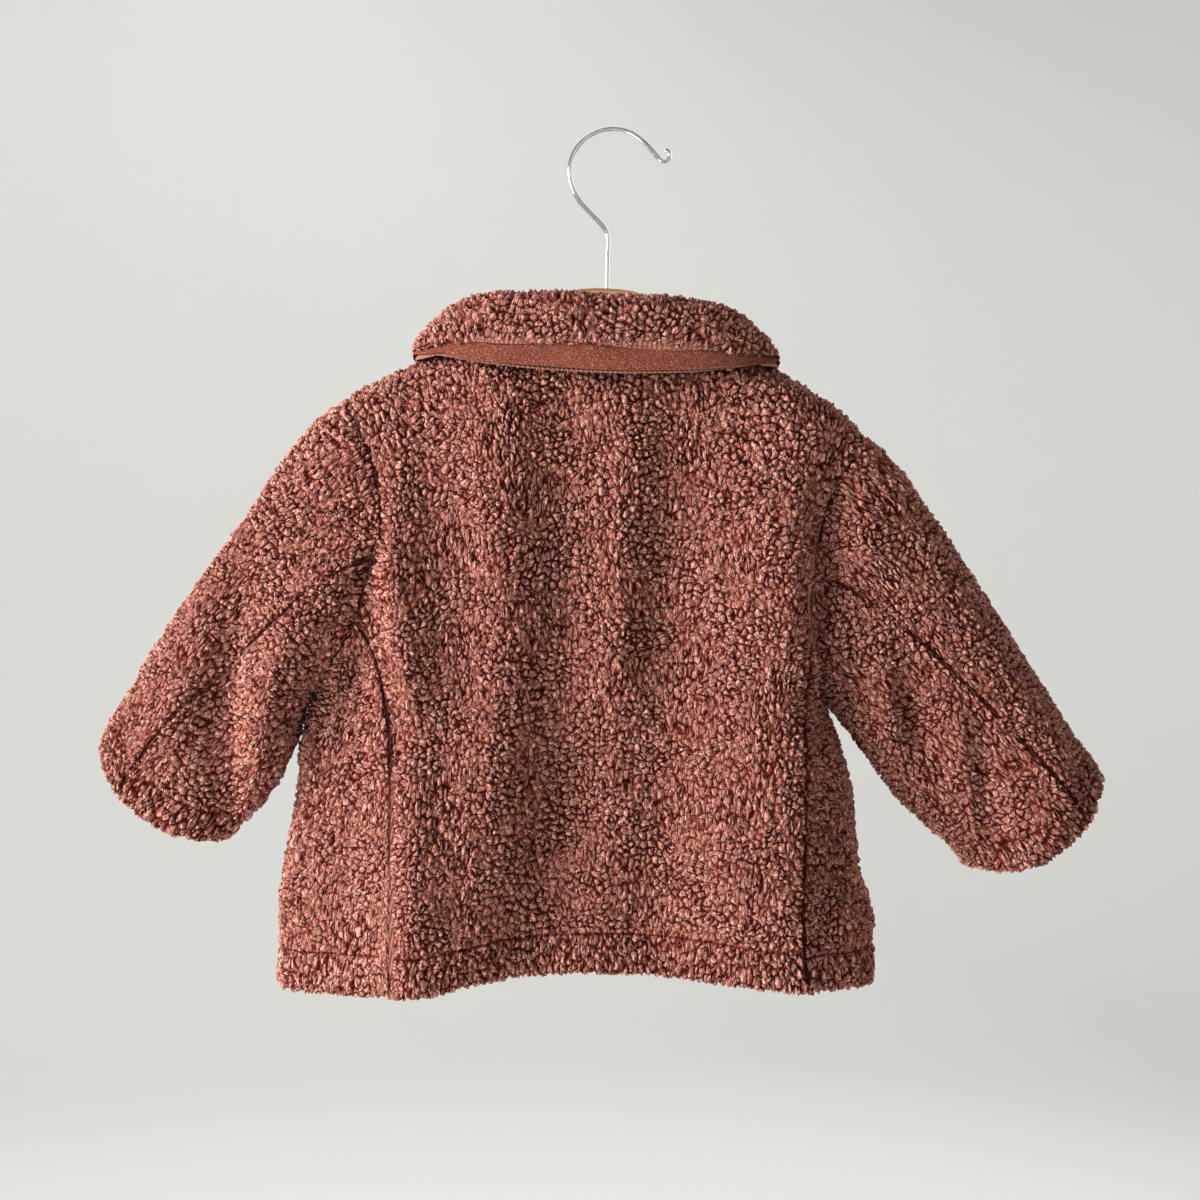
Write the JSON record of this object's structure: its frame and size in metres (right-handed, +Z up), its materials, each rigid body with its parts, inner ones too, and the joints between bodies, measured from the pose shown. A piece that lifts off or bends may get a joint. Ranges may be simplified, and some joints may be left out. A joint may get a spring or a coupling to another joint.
{
  "type": "fleece jacket on a hanger",
  "caption": "Baby's teddy-fleece jacket with a fold-over collar, two-piece sleeves and a buttoned front, hung on a small wooden hanger with a wire hook.",
  "frame": {"origin": "the underside of the hook's crown, where it rests on its nail or rail", "axes": "+X towards the wearer's right sleeve, -Y out of the jacket's back, +Z up"},
  "size_m": [0.6025, 0.0969, 0.5154],
  "materials": {
    "teddy_fleece": "curly teddy pile, matt, rust brown",
    "plain_fleece": "short fine fleece, matt",
    "wood": "varnished beech",
    "wire": "bright plated wire",
    "button": "dark brown, slightly glossy"
  },
  "bodies": {
    "root": {"back": "teddy_fleece", "front_left": "teddy_fleece", "front_right": "teddy_fleece", "sleeve_left_upper": "teddy_fleece", "sleeve_left_under": "teddy_fleece", "sleeve_right_upper": "teddy_fleece", "sleeve_right_under": "teddy_fleece", "collar_upper": "teddy_fleece", "collar_under": "plain_fleece", "button_1": "button", "button_2": "button", "button_3": "button", "button_4": "button", "hanger_wood": "wood", "hanger_hook": "wire"}
  },
  "joints": []
}
